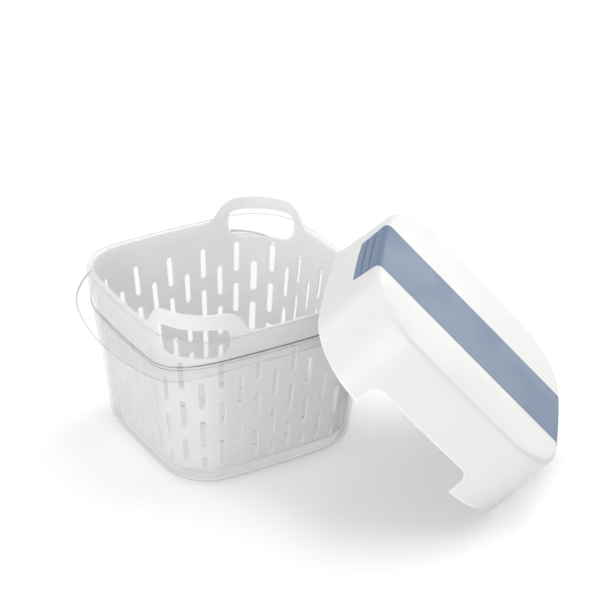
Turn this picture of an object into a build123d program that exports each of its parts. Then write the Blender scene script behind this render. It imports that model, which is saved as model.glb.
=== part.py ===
"""Produce storage container: a clear container, a slotted lift-out basket, and a deep lid with a soft band.

Millimetres, +Z up. The origin is the centre of the container's flat base, on the surface it stands on.
The lid has been taken off: it leans with one end on the floor and the other on the container's rim.
"""
import os
from math import asin, atan2, cos, degrees, hypot, radians, sin, sqrt

from build123d import *

os.makedirs("parts", exist_ok=True)

# Container: outside sizes along X and Y, at the foot of the walls and at the rim
container_height = 120.6
container_wall = 2.0
container_floor = 2.2
foot_length = 143.0
foot_width = 148.0
rim_length = 168.0
rim_width = 176.0
side_radius = 840.0
foot_corner = 36.0
rim_corner = 44.0
foot_round = 7.0
rim_round = 0.7

# Flange under the collar: level along the middle, drooping at both Y ends into the hand holds
flange_height = 104.6
flange_thickness = 1.9
flange_length = 184.8
flange_width = 200.0
flange_side_radius = 730.0
flange_bulge_radius = 200.0
flange_corner = 46.0
flange_round = 0.6
level_half_width = 42.0
droop_start_radius = 98.0
droop_angle = 22.0
droop_end_radius = 70.0
droop_end_angle = 5.0

# Basket: follows the inside of the container and stands on four short feet
basket_gap = 2.0
basket_wall = 1.6
basket_floor = 1.8
basket_round = 5.0
basket_rim_drop = 0.4
basket_foot_height = 5.0
basket_foot_radius = 4.0
basket_foot_spacing = 84.0
seat_gap = 0.3

# Grip tabs on two opposite corners of the basket, leaning in a little, each with a finger hole
tab_height = 16.6
tab_lean = 2.2
tab_foot_width = 70.0
tab_top_width = 52.0
tab_top_round = 14.0
tab_foot_round = 6.0
grip_width = 49.0
grip_height = 22.2
grip_below_tab = 10.0
grip_lower_round = 11.0
grip_upper_round = 6.0

# Drain slots: staggered columns round the basket's walls, and rows in its floor
slot_width = 4.4
slot_length = 23.0
slot_pitch = 32.0
slot_columns = 40
slot_rows = 3
slot_first_centre = 25.7
short_slot_length = 11.5
short_slot_centre = 16.5
floor_slot_length = 21.0
floor_slot_spacing = 14.0
floor_slot_columns = 8

# Lid: outside sizes along its band and across it, at the rim and at the top
lid_height = 53.8
lid_wall = 2.2
lid_top = 2.4
lid_length = 184.0
lid_width = 184.8
lid_top_length = 181.0
lid_top_width = 167.0
lid_side_radius = 730.0
lid_corner = 50.0
lid_top_corner = 46.0
lid_round = 4.2
lid_arch = 3.0
notch_width = 89.0
notch_depth = 17.0
notch_round = 7.0

# Soft band let into the lid's top and both its end walls, with grip grooves at and above the ends
band_depth = 1.1
band_proud = 0.3
band_width = 60.4
band_end_width = 54.0
band_drop = 23.3
band_end_round = 1.5
groove_spacing = 7.1
groove_count = 2
groove_radius = 1.1

# How the lid leans: the way its band points seen from above, and where it crosses the container's rim
lean_heading = 50.8
lean_touch_x = 15.0
lean_touch_angle = 32.8
lean_gap = 0.3

# Cutters run this far past what they cut
overrun = 1.0


def outline(plane, length, width, corner, end_radius, width_radius):
    """A bulged square with round corners: where four large circles overlap, filleted."""
    x = length / 2
    y = width / 2
    with BuildSketch(plane) as face:
        with Locations((x - end_radius, 0)):
            Circle(end_radius)
        with Locations((end_radius - x, 0)):
            Circle(end_radius, mode=Mode.INTERSECT)
        with Locations((0, y - width_radius)):
            Circle(width_radius, mode=Mode.INTERSECT)
        with Locations((0, width_radius - y)):
            Circle(width_radius, mode=Mode.INTERSECT)
        fillet(face.vertices(), corner)
    return face.sketch


def container_outline(height, inset, lift=0):
    """The container's section at a height, drawn in by an inset and then lifted."""
    share = height / container_height
    length = foot_length + (rim_length - foot_length) * share - 2 * inset
    width = foot_width + (rim_width - foot_width) * share - 2 * inset
    corner = foot_corner + (rim_corner - foot_corner) * share - inset
    return outline(Plane.XY.offset(height + lift), length, width, corner, side_radius - inset, side_radius - inset)


def container_block(bottom, top, inset, rounding):
    """A solid that fills the container's shape between two heights, with a rounded foot."""
    with BuildPart() as block:
        loft(sections=[container_outline(bottom, inset), container_outline(top, inset)])
        fillet(block.edges().group_by(Axis.Z)[0], rounding)
    return block.part


# The flange is a level sheet that droops at both ends, cut to its outline in plan.
with BuildPart() as flange:
    with BuildSketch(Plane.YZ):
        with BuildLine():
            level = Line((0, flange_height), (level_half_width, flange_height))
            start = JernArc(level @ 1, (1, 0), droop_start_radius, -droop_angle)
            end = JernArc(start @ 1, start % 1, droop_end_radius, droop_angle - droop_end_angle)
            Line(end @ 1, end @ 1 + (end % 1) * (flange_width / 2))
            offset(amount=flange_thickness, side=Side.RIGHT)
        make_face()
        mirror(about=Plane.YZ)
    extrude(amount=flange_length, both=True)
    flange_plan = outline(Plane.XY, flange_length, flange_width, flange_corner,
                          flange_side_radius, flange_bulge_radius)
    extrude(flange_plan, amount=container_height, mode=Mode.INTERSECT)
    fillet(flange.edges(), flange_round)

# Container: one clear moulding, open at the top, with its flange.
with BuildPart() as container:
    add(container_block(0, container_height, 0, foot_round))
    add(flange.part)
    cavity = container_block(container_floor, container_height + overrun, container_wall,
                             foot_round - container_wall)
    add(cavity, mode=Mode.SUBTRACT)
    fillet(container.faces().sort_by(Axis.Z)[-1].edges(), rim_round)

container.part.label = "container"
export_step(container.part, "parts/container.step")

# Basket: its walls follow the container's, and rise into a grip tab at two opposite corners.
basket_inset = container_wall + basket_gap
basket_bottom = container_floor + seat_gap + basket_foot_height
basket_top = container_height - basket_rim_drop
tab_top = basket_top + tab_height
across_tabs = Plane(origin=(0, 0, 0), x_dir=(1, 1, 0), z_dir=(1, -1, 0))


def wall_place(share, height):
    """A point on the middle of the basket's wall, this share of the way round, at this height."""
    wire = container_outline(height, basket_inset + basket_wall / 2).face().outer_wire()
    start = wire.param_at_point(Vector(wire.bounding_box().max.X, 0, height))
    return wire.position_at((start + share) % 1)


def slot_planes(first_column, first_centre, rows):
    """The planes of every second column of slots: X runs up the wall, and Z straight out of it."""
    planes = []
    for column in range(first_column, slot_columns, 2):
        share = (column + 0.5) / slot_columns
        for row in range(rows):
            centre = first_centre + row * slot_pitch
            middle = wall_place(share, centre)
            upward = wall_place(share, centre + slot_length / 2) - middle
            sideways = wall_place(share + 0.1 / slot_columns, centre) - middle
            planes.append(Plane(origin=middle, x_dir=upward, z_dir=sideways.cross(upward)))
    return planes


def tab_block(inset):
    """A solid that goes on from the basket's rim to the top of its tabs, leaning in."""
    with BuildPart() as block:
        loft(sections=[container_outline(basket_top, inset),
                       container_outline(basket_top, inset + tab_lean, lift=tab_height)])
    return block.part


with BuildPart() as basket:
    add(container_block(basket_bottom, basket_top, basket_inset, basket_round))
    add(tab_block(basket_inset))
    basket_inside = container_block(basket_bottom + basket_floor, basket_top,
                                    basket_inset + basket_wall, basket_round - basket_wall)
    add(basket_inside, mode=Mode.SUBTRACT)
    add(tab_block(basket_inset + basket_wall), mode=Mode.SUBTRACT)
    # seen along the tabs' diagonal, all above the rim but the two tabs is cut away
    with BuildSketch(across_tabs) as silhouette:
        with BuildLine():
            Polyline((-rim_width, 0), (-rim_width, basket_top), (-tab_foot_width / 2, basket_top),
                     (-tab_top_width / 2, tab_top), (tab_top_width / 2, tab_top),
                     (tab_foot_width / 2, basket_top), (rim_width, basket_top), (rim_width, 0), close=True)
        make_face()
        by_height = silhouette.vertices().group_by(Axis.Y)
        fillet(by_height[-1], tab_top_round)
        fillet(silhouette.vertices().group_by(Axis.Y)[1].sort_by(Axis.X)[1:-1], tab_foot_round)
    extrude(amount=rim_width, both=True, mode=Mode.INTERSECT)
    with BuildSketch(across_tabs) as grip:
        with Locations((0, tab_top - grip_below_tab - grip_height / 2)):
            Rectangle(grip_width, grip_height)
        fillet(grip.vertices().group_by(Axis.Y)[0], grip_lower_round)
        fillet(grip.vertices().group_by(Axis.Y)[-1], grip_upper_round)
    extrude(amount=rim_width, both=True, mode=Mode.SUBTRACT)
    # feet under the corners of the floor
    with BuildSketch(Plane.XY.offset(basket_bottom + basket_floor / 2)):
        with GridLocations(basket_foot_spacing, basket_foot_spacing, 2, 2):
            Circle(basket_foot_radius)
    extrude(amount=-basket_foot_height - basket_floor / 2)
    # full slots in every column, and a short one at the foot of every second column
    with BuildSketch(*slot_planes(0, slot_first_centre, slot_rows)):
        SlotOverall(slot_length, slot_width)
    extrude(amount=basket_wall * 2, both=True, mode=Mode.SUBTRACT)
    with BuildSketch(*slot_planes(1, slot_first_centre + slot_pitch / 2, slot_rows - 1)):
        SlotOverall(slot_length, slot_width)
    extrude(amount=basket_wall * 2, both=True, mode=Mode.SUBTRACT)
    with BuildSketch(*slot_planes(1, short_slot_centre, 1)):
        SlotOverall(short_slot_length, slot_width)
    extrude(amount=basket_wall * 2, both=True, mode=Mode.SUBTRACT)
    # drain slots in the floor, staggered like those in the walls
    with BuildSketch(Plane.XY.offset(basket_bottom)):
        with GridLocations(floor_slot_spacing * 2, slot_pitch, floor_slot_columns // 2, slot_rows):
            with Locations((-floor_slot_spacing / 2, 0)):
                SlotOverall(floor_slot_length, slot_width, rotation=90)
        with GridLocations(floor_slot_spacing * 2, slot_pitch, floor_slot_columns // 2, slot_rows - 1):
            with Locations((floor_slot_spacing / 2, 0)):
                SlotOverall(floor_slot_length, slot_width, rotation=90)
    extrude(amount=basket_floor * 2, both=True, mode=Mode.SUBTRACT)

basket.part.label = "basket"
export_step(basket.part, "parts/basket.step")

# The lid's place. Its rim's outer edge is on the floor at one end. At the other, the inner edge of its
# rim crosses the outer edge of the container's rim, at a point on one of the rim's corner arcs.
arch_radius = ((lid_width / 2) ** 2 + lid_arch**2) / (2 * lid_arch)
inner_rim = outline(Plane.XY, lid_length - 2 * lid_wall, lid_width - 2 * lid_wall,
                    lid_corner - lid_wall, lid_side_radius, lid_side_radius)
corner_arc = inner_rim.edges().filter_by(GeomType.CIRCLE).group_by(SortBy.RADIUS)[0]
corner_arc = corner_arc.sort_by(lambda arc: arc.arc_center.Y - arc.arc_center.X)[-1]
touch_u = corner_arc.arc_center.X - corner_arc.radius * cos(radians(lean_touch_angle))
touch_v = corner_arc.arc_center.Y + corner_arc.radius * sin(radians(lean_touch_angle))
touch_w = lid_arch - arch_radius + sqrt(arch_radius**2 - touch_v**2)
span = lid_length / 2 - touch_u
tilt = asin(container_height / hypot(span, touch_w - lid_arch)) - atan2(touch_w - lid_arch, span)
heading = radians(lean_heading)
along_band = Vector(cos(tilt) * cos(heading), cos(tilt) * sin(heading), -sin(tilt))
across_band = Vector(-sin(heading), cos(heading), 0)
out_of_top = along_band.cross(across_band)
touch_y = rim_width / 2 - side_radius + sqrt(side_radius**2 - lean_touch_x**2)
touch_point = Vector(lean_touch_x, touch_y, container_height + lean_gap)
lid_origin = touch_point - along_band * touch_u - across_band * touch_v - out_of_top * touch_w
lid_plane = Plane(origin=lid_origin, x_dir=along_band, z_dir=out_of_top)
end_view = Plane(origin=lid_origin, x_dir=across_band, z_dir=along_band)
side_view = Plane(origin=lid_origin, x_dir=along_band, z_dir=-across_band)
lid_axis = Axis(lid_origin, out_of_top)


def lid_outline(height, inset):
    """The lid's section at a height over its rim, drawn in by an inset."""
    share = height / lid_height
    length = lid_length + (lid_top_length - lid_length) * share - 2 * inset
    width = lid_width + (lid_top_width - lid_width) * share - 2 * inset
    corner = lid_corner + (lid_top_corner - lid_corner) * share - inset
    return outline(lid_plane.offset(height), length, width, corner, lid_side_radius, lid_side_radius)


def lid_block(bottom, top_inset, inset, rounding):
    """A solid that fills the lid's shape, drawn in at its sides and top, with a rounded top."""
    with BuildPart() as block:
        loft(sections=[lid_outline(bottom, inset), lid_outline(lid_height - top_inset, inset)])
        fillet(block.faces().sort_by(lid_axis)[-1].edges(), rounding)
    return block.part


def band_strip():
    """The band seen from its end, as a strip that narrows down both end walls."""
    with BuildSketch(end_view) as strip:
        with BuildLine():
            Polyline((-band_width / 2, lid_height + lid_round), (-band_width / 2, lid_height - lid_round),
                     (-band_end_width / 2, lid_height - band_drop), (band_end_width / 2, lid_height - band_drop),
                     (band_width / 2, lid_height - lid_round), (band_width / 2, lid_height + lid_round), close=True)
        make_face()
        fillet(strip.vertices().group_by(Axis.Y)[0], band_end_round)
    return strip.sketch


lid_core = lid_block(-overrun, band_depth, band_depth, lid_round - band_depth)

# Lid: a deep white shell with a notch over each hand hold, and a shallow pocket for the band.
with BuildPart() as band_pocket:
    extrude(band_strip(), amount=lid_length, both=True)
    add(lid_core, mode=Mode.SUBTRACT)

with BuildPart() as lid:
    add(lid_block(0, 0, 0, lid_round))
    add(lid_block(-overrun, lid_top, lid_wall, lid_round - lid_wall), mode=Mode.SUBTRACT)
    # the rim rises in a shallow arch across both ends
    with BuildSketch(end_view):
        with Locations((0, lid_arch - arch_radius)):
            Circle(arch_radius)
    extrude(amount=lid_length, both=True, mode=Mode.SUBTRACT)
    with BuildSketch(side_view) as notch:
        Rectangle(notch_width, notch_depth * 2)
        fillet(notch.vertices(), notch_round)
    extrude(amount=lid_width, both=True, mode=Mode.SUBTRACT)
    add(band_pocket.part, mode=Mode.SUBTRACT)

lid.part.label = "lid"
export_step(lid.part, "parts/lid.step")

# Band: a soft strip that fills its pocket and stands a little proud of the lid.
with BuildPart() as lid_band:
    extrude(band_strip(), amount=lid_length, both=True)
    add(lid_block(-overrun, -band_proud, -band_proud, lid_round + band_proud), mode=Mode.INTERSECT)
    add(lid_core, mode=Mode.SUBTRACT)
    with BuildSketch(side_view):
        for groove in range(groove_count + 1):
            height = lid_height - band_drop + groove * groove_spacing
            reach = lid_length + (lid_top_length - lid_length) * height / lid_height + 2 * band_proud
            with GridLocations(reach, 0, 2, 1):
                with Locations((0, height)):
                    Circle(groove_radius)
    extrude(amount=band_width, both=True, mode=Mode.SUBTRACT)

lid_band.part.label = "lid_band"
export_step(lid_band.part, "parts/lid_band.step")

print("lid tilt in degrees", round(degrees(tilt), 2))
print("lid origin", [round(value, 2) for value in lid_origin])
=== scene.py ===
from math import radians

import bpy
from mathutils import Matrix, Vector

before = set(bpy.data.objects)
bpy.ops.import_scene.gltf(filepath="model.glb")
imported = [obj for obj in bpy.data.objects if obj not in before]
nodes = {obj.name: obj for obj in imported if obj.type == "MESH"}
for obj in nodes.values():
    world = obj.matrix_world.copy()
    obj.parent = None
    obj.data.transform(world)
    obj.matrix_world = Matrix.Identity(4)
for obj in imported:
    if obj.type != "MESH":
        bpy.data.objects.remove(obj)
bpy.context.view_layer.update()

bpy.ops.object.select_all(action="DESELECT")


# Camera. A long lens looks down on the container's near corner.
# Its axis meets the origin, and the lens is shifted so that the leaning lid is in the frame too.
camera_distance = 1.3834
camera_elevation = radians(31.6)
camera_turn = radians(60.44)
camera_reach = 50
photo_width = 616
focal_pixels = 1895.3
axis_pixel = (229.2, 421.0)
sensor_width = 36.0

bpy.ops.object.camera_add(rotation=(radians(90) - camera_elevation, 0, camera_turn))
camera = bpy.context.object
camera.location = camera.rotation_euler.to_matrix() @ Vector((0, 0, camera_distance))
camera.data.sensor_width = sensor_width
camera.data.lens = focal_pixels / photo_width * sensor_width
camera.data.shift_x = (photo_width / 2 - axis_pixel[0]) / photo_width
camera.data.shift_y = (axis_pixel[1] - photo_width / 2) / photo_width
camera.data.clip_end = camera_reach
bpy.context.scene.camera = camera


# Studio. A seamless white table under a soft box, with others low behind, in front and at the left.
# Camera, glossy and transmission rays see it a little whiter, and it fades to plain white away from the part.
table_size = 14.0
table_albedo = 0.86
table_seen = 1.2
table_lift = 0.03
table_grain = {"Scale": 3.0, "Detail": 2.0}
table_grain_tones = (0.99, 1.01)
fade_start = 0.6
fade_end = 1.1
sky_white = (1.0, 1.0, 1.0, 1.0)
sky_fill = 0.41
plain_white = 1.0
soft_boxes = {
    "top_box": {"place": (-0.05, 0.7, 1.5), "aim": (0.05, 0.05, 0.05), "size": 1.2, "power": 9.7},
    "back_box": {"place": (-0.36, 1.53, 0.55), "aim": (0.12, 0.12, 0.1), "size": 1.0, "power": 6.1},
    "front_box": {"place": (1.3, -1.5, 0.55), "aim": (0.05, 0.05, 0.05), "size": 1.2, "power": 19.0},
    "left_box": {"place": (-1.2, -1.0, 1.0), "aim": (0.1, 0.1, 0.1), "size": 1.0, "power": 5.0},
}


def add_node(tree, kind, values=None, **settings):
    """A new shader node, with its settings, and with its sockets set or linked by name."""
    node = tree.nodes.new(kind)
    for name, value in settings.items():
        setattr(node, name, value)
    for name, value in (values or {}).items():
        socket = node.inputs[name]
        if isinstance(value, bpy.types.NodeSocket):
            tree.links.new(value, socket)
        else:
            socket.default_value = value
    return node


def combine(tree, operation, first, second, clamped=False):
    """The result of a sum, product, power or maximum of two values."""
    node = add_node(tree, "ShaderNodeMath", {0: first, 1: second}, operation=operation, use_clamp=clamped)
    return node.outputs[0]


def remap(tree, value, low, high, start=0.0, end=1.0):
    """A value that goes from low to high as the given one goes from start to end."""
    node = add_node(tree, "ShaderNodeMapRange", {"Value": value, "From Min": start, "From Max": end,
                                                 "To Min": low, "To Max": high})
    return node.outputs[0]


def seen_directly(tree):
    """1 for camera, glossy and transmission rays, and 0 for the rays that light things."""
    path = add_node(tree, "ShaderNodeLightPath")
    plain_or_glossy = combine(tree, "MAXIMUM", path.outputs["Is Camera Ray"], path.outputs["Is Glossy Ray"])
    return combine(tree, "MAXIMUM", plain_or_glossy, path.outputs["Is Transmission Ray"])


def soft_box(name, place, aim, size, power):
    """A square area lamp that faces a point and is out of the camera's sight."""
    bpy.ops.object.light_add(type="AREA", location=place)
    lamp = bpy.context.object
    lamp.name = name
    lamp.rotation_euler = (Vector(place) - Vector(aim)).to_track_quat("Z", "Y").to_euler()
    lamp.data.size = size
    lamp.data.energy = power
    lamp.visible_camera = False


world = bpy.data.worlds.new("studio")
world.use_nodes = True
bpy.context.scene.world = world
sky = world.node_tree
sky.nodes.clear()
sky_level = remap(sky, seen_directly(sky), sky_fill, plain_white)
sky_light = add_node(sky, "ShaderNodeBackground", {"Color": sky_white, "Strength": sky_level})
add_node(sky, "ShaderNodeOutputWorld", {"Surface": sky_light.outputs[0]})

bpy.ops.mesh.primitive_plane_add(size=table_size)
table = bpy.context.object
table.name = "table"
table_paint = bpy.data.materials.new("table_white")
table_paint.use_nodes = True
paint = table_paint.node_tree
paint.nodes.clear()
paint_seen = seen_directly(paint)
paint_grain = add_node(paint, "ShaderNodeTexNoise", table_grain)
paint_tone = remap(paint, paint_grain.outputs["Fac"], *table_grain_tones)
paint_white = combine(paint, "MULTIPLY", paint_tone, remap(paint, paint_seen, table_albedo, table_seen))
paint_matte = add_node(paint, "ShaderNodeBsdfDiffuse", {"Color": paint_white})
paint_glow = add_node(paint, "ShaderNodeEmission", {"Strength": combine(paint, "MULTIPLY", paint_seen, table_lift)})
paint_near = add_node(paint, "ShaderNodeAddShader", {0: paint_matte.outputs[0], 1: paint_glow.outputs[0]})
paint_far = add_node(paint, "ShaderNodeEmission", {"Strength": plain_white})
paint_place = add_node(paint, "ShaderNodeTexCoord")
paint_distance = add_node(paint, "ShaderNodeVectorMath", {0: paint_place.outputs["Object"]}, operation="LENGTH")
paint_fade = remap(paint, paint_distance.outputs["Value"], 0.0, 1.0, fade_start, fade_end)
paint_all = add_node(paint, "ShaderNodeMixShader", {0: combine(paint, "MULTIPLY", paint_fade, paint_seen),
                                                    1: paint_near.outputs[0], 2: paint_far.outputs[0]})
add_node(paint, "ShaderNodeOutputMaterial", {"Surface": paint_all.outputs[0]})
table.data.materials.append(table_paint)

for name, settings in soft_boxes.items():
    soft_box(name, **settings)


# Container. One clear moulding in polished plastic: thin tapered walls, a collar, and a drooping flange.
# It has faint flow marks from the mould, fine hairlines from washing, and a soft haze where it is handled. Dark
# lines of painted shade run along its edges and inner corners.
clear_tint = (0.72, 0.735, 0.755, 1.0)
clear_worn = (0.78, 0.79, 0.805, 1.0)
# Painted shade: a grey tone along the clear plastic's edges and rims, and a near-black one along its inner corners.
clear_edge_painted_shade = (0.46, 0.49, 0.53, 1.0)
clear_corner_painted_shade = (0.05, 0.055, 0.08, 1.0)
clear_roughness = (0.05, 0.09)
clear_flow = 0.85
clear_relief = 0.15
clear_shader = {"IOR": 1.49}
clear_lines = {"Edge Width": 0.0014, "Joint Width": 0.0018}
# How solid the painted shade lines make the clear plastic along its edges and inner corners.
clear_edge_shade_strength = 0.7
clear_corner_shade_strength = 0.95
clear_lamp_share = 0.85
film_facing = 0.13
film_slanted = 0.62
film_curve = 4.0
crease_angle = radians(32)
weld_distance = 2e-6
relief_depth = 0.0002
line_samples = 6


def moulded_smooth(node):
    """Shades a CAD node as one smooth skin, sharp only at its creases, with its loose triangles joined."""
    tree = bpy.data.node_groups.new(node.name + "_skin", "GeometryNodeTree")
    tree.interface.new_socket("Mesh", in_out="INPUT", socket_type="NodeSocketGeometry")
    tree.interface.new_socket("Mesh", in_out="OUTPUT", socket_type="NodeSocketGeometry")
    start = add_node(tree, "NodeGroupInput")
    joined = add_node(tree, "GeometryNodeMergeByDistance",
                      {"Geometry": start.outputs[0], "Distance": weld_distance})
    turn = add_node(tree, "GeometryNodeInputMeshEdgeAngle")
    gentle = add_node(tree, "FunctionNodeCompare", {"A": turn.outputs["Unsigned Angle"], "B": crease_angle},
                      data_type="FLOAT", operation="LESS_THAN")
    smooth = add_node(tree, "GeometryNodeSetShadeSmooth", {"Geometry": joined.outputs[0], "Shade Smooth": True},
                      domain="FACE")
    creased = add_node(tree, "GeometryNodeSetShadeSmooth",
                       {"Geometry": smooth.outputs[0], "Shade Smooth": gentle.outputs["Result"]}, domain="EDGE")
    add_node(tree, "NodeGroupOutput", {"Mesh": creased.outputs[0]})
    node.modifiers.new("skin", "NODES").node_group = tree


def effect_group(name, inputs, outputs):
    """A shader node group with these named inputs and outputs, and its input and output nodes."""
    tree = bpy.data.node_groups.new(name, "ShaderNodeTree")
    for label, default in inputs.items():
        tree.interface.new_socket(label, in_out="INPUT", socket_type="NodeSocketFloat").default_value = default
    for label in outputs:
        tree.interface.new_socket(label, in_out="OUTPUT", socket_type="NodeSocketFloat")
    return tree, tree.nodes.new("NodeGroupInput"), tree.nodes.new("NodeGroupOutput")


# Surface of a moulding: a spark-eroded grain, and broad gentle flow marks under it
grain, grain_in, grain_out = effect_group(
    "mould_grain", {"Grain Scale": 2500.0, "Flow Scale": 22.0, "Flow Share": 0.5}, ("Height", "Tone"))
grain_place = add_node(grain, "ShaderNodeTexCoord").outputs["Object"]
grain_fine = add_node(grain, "ShaderNodeTexNoise",
                      {"Vector": grain_place, "Scale": grain_in.outputs["Grain Scale"], "Detail": 2.0})
grain_flow = add_node(grain, "ShaderNodeTexNoise",
                      {"Vector": grain_place, "Scale": grain_in.outputs["Flow Scale"], "Detail": 3.0,
                       "Distortion": 0.6})
grain_mix = add_node(grain, "ShaderNodeMix",
                     {"Factor": grain_in.outputs["Flow Share"], "A": grain_fine.outputs["Fac"],
                      "B": grain_flow.outputs["Fac"]})
grain.links.new(grain_mix.outputs[0], grain_out.inputs["Height"])
grain.links.new(grain_flow.outputs["Fac"], grain_out.inputs["Tone"])

# Wear from washing and handling: sparse fine hairlines, and soft patches
hairline_half_width = 0.012
patch_edges = (0.45, 0.7)
marks, marks_in, marks_out = effect_group(
    "handling_marks", {"Hairline Scale": 60.0, "Patch Scale": 30.0}, ("Hairlines", "Patches"))
marks_place = add_node(marks, "ShaderNodeTexCoord").outputs["Object"]
marks_bend = add_node(marks, "ShaderNodeTexNoise", {"Vector": marks_place, "Scale": 9.0, "Detail": 2.0})
marks_moved = add_node(marks, "ShaderNodeVectorMath", {0: marks_place, 1: marks_bend.outputs["Color"]},
                       operation="ADD")
marks_stretch = add_node(marks, "ShaderNodeMapping",
                         {"Vector": marks_moved.outputs[0], "Scale": (1.0, 7.0, 2.0), "Rotation": (0.4, 0.3, 0.9)})
marks_cells = add_node(marks, "ShaderNodeTexVoronoi",
                       {"Vector": marks_stretch.outputs[0], "Scale": marks_in.outputs["Hairline Scale"]},
                       feature="DISTANCE_TO_EDGE")
marks_lines = remap(marks, marks_cells.outputs["Distance"], 1.0, 0.0, 0.0, hairline_half_width)
marks_soft = add_node(marks, "ShaderNodeTexNoise",
                      {"Vector": marks_place, "Scale": marks_in.outputs["Patch Scale"], "Detail": 4.0})
marks_patch = remap(marks, marks_soft.outputs["Fac"], 0.0, 1.0, *patch_edges)
marks.links.new(combine(marks, "MULTIPLY", marks_lines, marks_patch), marks_out.inputs["Hairlines"])
marks.links.new(marks_patch, marks_out.inputs["Patches"])

# Edges of a moulding, from short-range occlusion: a thin line where its wall ends or turns, and one along each
# inner corner. They carry the painted shade and painted highlights.
edge_openness = (0.95, 0.45)
joint_openness = (0.9, 0.55)
edges, edges_in, edges_out = effect_group("edge_lines", clear_lines, ("Edge", "Joint"))
edges_solid = add_node(edges, "ShaderNodeAmbientOcclusion", {"Distance": edges_in.outputs["Edge Width"]},
                       samples=line_samples, inside=True, only_local=True)
edges_open = add_node(edges, "ShaderNodeAmbientOcclusion", {"Distance": edges_in.outputs["Joint Width"]},
                      samples=line_samples, only_local=True)
edges.links.new(remap(edges, edges_solid.outputs["AO"], 0.0, 1.0, *edge_openness), edges_out.inputs["Edge"])
edges.links.new(remap(edges, edges_open.outputs["AO"], 0.0, 1.0, *joint_openness), edges_out.inputs["Joint"])


def mixed_colour(tree, mask, colour, other):
    """A colour that turns into another where the mask is 1."""
    return add_node(tree, "ShaderNodeMix", {"Factor": mask, 6: colour, 7: other}, data_type="RGBA").outputs[2]


def moulding_material(name, colour, worn_colour, roughness, flow, relief, sockets):
    """A moulded plastic: its colour and roughness vary with the marks, and its grain is a fine bump."""
    material = bpy.data.materials.new(name)
    material.use_nodes = True
    tree = material.node_tree
    tree.nodes.clear()
    surface = add_node(tree, "ShaderNodeGroup", {"Flow Share": flow}, node_tree=grain)
    wear = add_node(tree, "ShaderNodeGroup", node_tree=marks)
    worn = combine(tree, "ADD", wear.outputs["Hairlines"], surface.outputs["Tone"], clamped=True)
    bump = add_node(tree, "ShaderNodeBump",
                    {"Height": surface.outputs["Height"], "Strength": relief, "Distance": relief_depth})
    plastic = add_node(tree, "ShaderNodeBsdfPrincipled",
                       {"Base Color": mixed_colour(tree, worn, colour, worn_colour),
                        "Roughness": remap(tree, wear.outputs["Patches"], *roughness),
                        "Normal": bump.outputs[0], **sockets})
    add_node(tree, "ShaderNodeOutputMaterial", {"Surface": plastic.outputs[0]})
    return material


def plastic_of(material):
    """The shader of a moulded plastic."""
    return next(node for node in material.node_tree.nodes if node.type == "BSDF_PRINCIPLED")


def line_masks(material, widths):
    """The masks of the edge lines of a moulded plastic, for lines of these widths."""
    return add_node(material.node_tree, "ShaderNodeGroup", widths, node_tree=edges).outputs


def tone_along(material, mask, tone):
    """Paints a shade or highlight tone over the colour of a moulded plastic where the mask is 1."""
    tree = material.node_tree
    base = plastic_of(material).inputs["Base Color"]
    tree.links.new(mixed_colour(tree, mask, base.links[0].from_socket, tone), base)


def let_lamps_through(material, share):
    """Shadow rays pass through this plastic in part, as light does through a thin clear or milky wall."""
    tree = material.node_tree
    output = next(node for node in tree.nodes if node.type == "OUTPUT_MATERIAL")
    path = add_node(tree, "ShaderNodeLightPath")
    passed = combine(tree, "MULTIPLY", path.outputs["Is Shadow Ray"], share)
    open_way = add_node(tree, "ShaderNodeBsdfTransparent")
    mix = add_node(tree, "ShaderNodeMixShader",
                   {0: passed, 1: plastic_of(material).outputs[0], 2: open_way.outputs[0]})
    tree.links.new(mix.outputs[0], output.inputs["Surface"])


def dress(name, material):
    """Gives a CAD node its finish and its smooth skin."""
    node = nodes[name]
    node.data.materials.clear()
    node.data.materials.append(material)
    moulded_smooth(node)


clear_plastic = moulding_material("clear_plastic", clear_tint, clear_worn, clear_roughness, clear_flow,
                                  clear_relief, clear_shader)
clear_tree = clear_plastic.node_tree
clear_shade_masks = line_masks(clear_plastic, clear_lines)
film_slant = add_node(clear_tree, "ShaderNodeLayerWeight", {"Blend": 0.5}).outputs["Facing"]
film = remap(clear_tree, combine(clear_tree, "POWER", film_slant, film_curve), film_facing, film_slanted)
# Painted shade lines: the clear plastic is drawn more solid along its edges and inner corners, so their dark tones
# show.
film_edge_shade = combine(clear_tree, "MULTIPLY", clear_shade_masks["Edge"], clear_edge_shade_strength)
film_corner_shade = combine(clear_tree, "MULTIPLY", clear_shade_masks["Joint"], clear_corner_shade_strength)
film_shade_lines = combine(clear_tree, "MAXIMUM", film_edge_shade, film_corner_shade)
film_all = combine(clear_tree, "MAXIMUM", film, film_shade_lines)
clear_tree.links.new(film_all, plastic_of(clear_plastic).inputs["Alpha"])
# Grey painted shade along the edges, and near-black painted shade along the inner corners.
tone_along(clear_plastic, clear_shade_masks["Edge"], clear_edge_painted_shade)
tone_along(clear_plastic, clear_shade_masks["Joint"], clear_corner_painted_shade)
let_lamps_through(clear_plastic, clear_lamp_share)
dress("container", clear_plastic)
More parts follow.
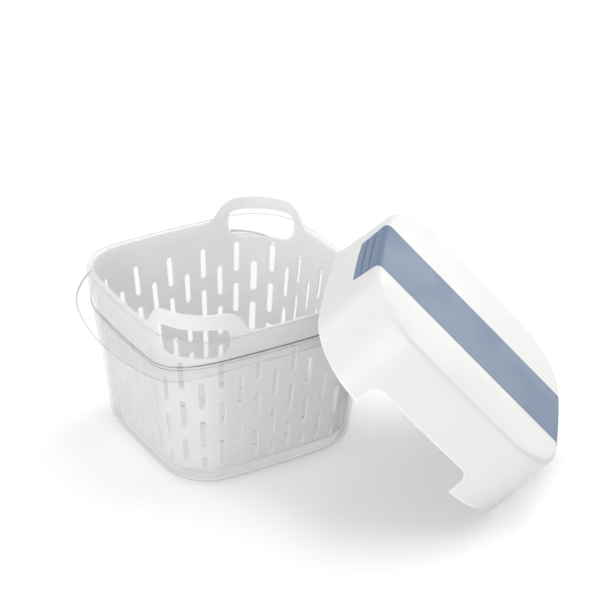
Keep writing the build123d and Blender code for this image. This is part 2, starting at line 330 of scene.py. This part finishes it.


# Basket. One frosted moulding in milky translucent plastic, slotted for drainage, with two grip tabs.
# Its surface is satin from the mould, and light passes through it softened. Its edges carry a painted white
# highlight and are drawn more solid.
milky = (0.95, 0.95, 0.953, 1.0)
milky_worn = (0.93, 0.931, 0.935, 1.0)
# Painted highlight: pure white along the basket's edges.
milky_painted_highlight = (1.0, 1.0, 1.0, 1.0)
milky_roughness = (0.36, 0.46)
milky_flow = 0.3
milky_relief = 0.25
milky_shader = {"IOR": 1.2, "Transmission Weight": 0.25}
milky_body = 0.9
milky_lines = {"Edge Width": 0.0011}
milky_lamp_share = 0.15

frosted_plastic = moulding_material("frosted_plastic", milky, milky_worn, milky_roughness, milky_flow,
                                    milky_relief, milky_shader)
frosted_tree = frosted_plastic.node_tree
# Painted highlight: along its edges the basket is drawn solid and pure white.
frosted_highlight_masks = line_masks(frosted_plastic, milky_lines)
frosted_tree.links.new(remap(frosted_tree, frosted_highlight_masks["Edge"], milky_body, 1.0),
                       plastic_of(frosted_plastic).inputs["Alpha"])
tone_along(frosted_plastic, frosted_highlight_masks["Edge"], milky_painted_highlight)
let_lamps_through(frosted_plastic, milky_lamp_share)
dress("basket", frosted_plastic)


# Lid. One deep shell in opaque white plastic with a satin mould finish.
# It shows a faint grain, soft handled patches and a few hairlines along its top. A painted highlight runs along its
# edges.
lid_white = (0.875, 0.878, 0.862, 1.0)
lid_worn = (0.855, 0.858, 0.84, 1.0)
# Painted highlight: a lighter white along the lid's edges.
lid_painted_highlight = (0.98, 0.98, 0.975, 1.0)
lid_roughness = (0.34, 0.46)
lid_flow = 0.25
lid_relief = 0.3
lid_shader = {"IOR": 1.46}
lid_lines = {"Edge Width": 0.0018}

white_plastic = moulding_material("white_plastic", lid_white, lid_worn, lid_roughness, lid_flow,
                                  lid_relief, lid_shader)
# A painted highlight along the lid's edges.
tone_along(white_plastic, line_masks(white_plastic, lid_lines)["Edge"], lid_painted_highlight)
dress("lid", white_plastic)


# Lid band. A soft-touch strip moulded into the lid's pocket, in slate blue, with grooves at its ends.
# The finish is matte with a faint bloom, and it scatters light a little at a grazing angle.
slate = (0.118, 0.185, 0.30, 1.0)
slate_worn = (0.135, 0.208, 0.325, 1.0)
slate_roughness = (0.42, 0.52)
slate_flow = 0.3
slate_relief = 0.4
slate_shader = {"IOR": 1.47, "Sheen Weight": 0.08, "Sheen Roughness": 0.4}

soft_blue = moulding_material("soft_blue", slate, slate_worn, slate_roughness, slate_flow,
                              slate_relief, slate_shader)
dress("lid_band", soft_blue)


# Output: plain view transform.
bpy.context.scene.view_settings.view_transform = "Standard"
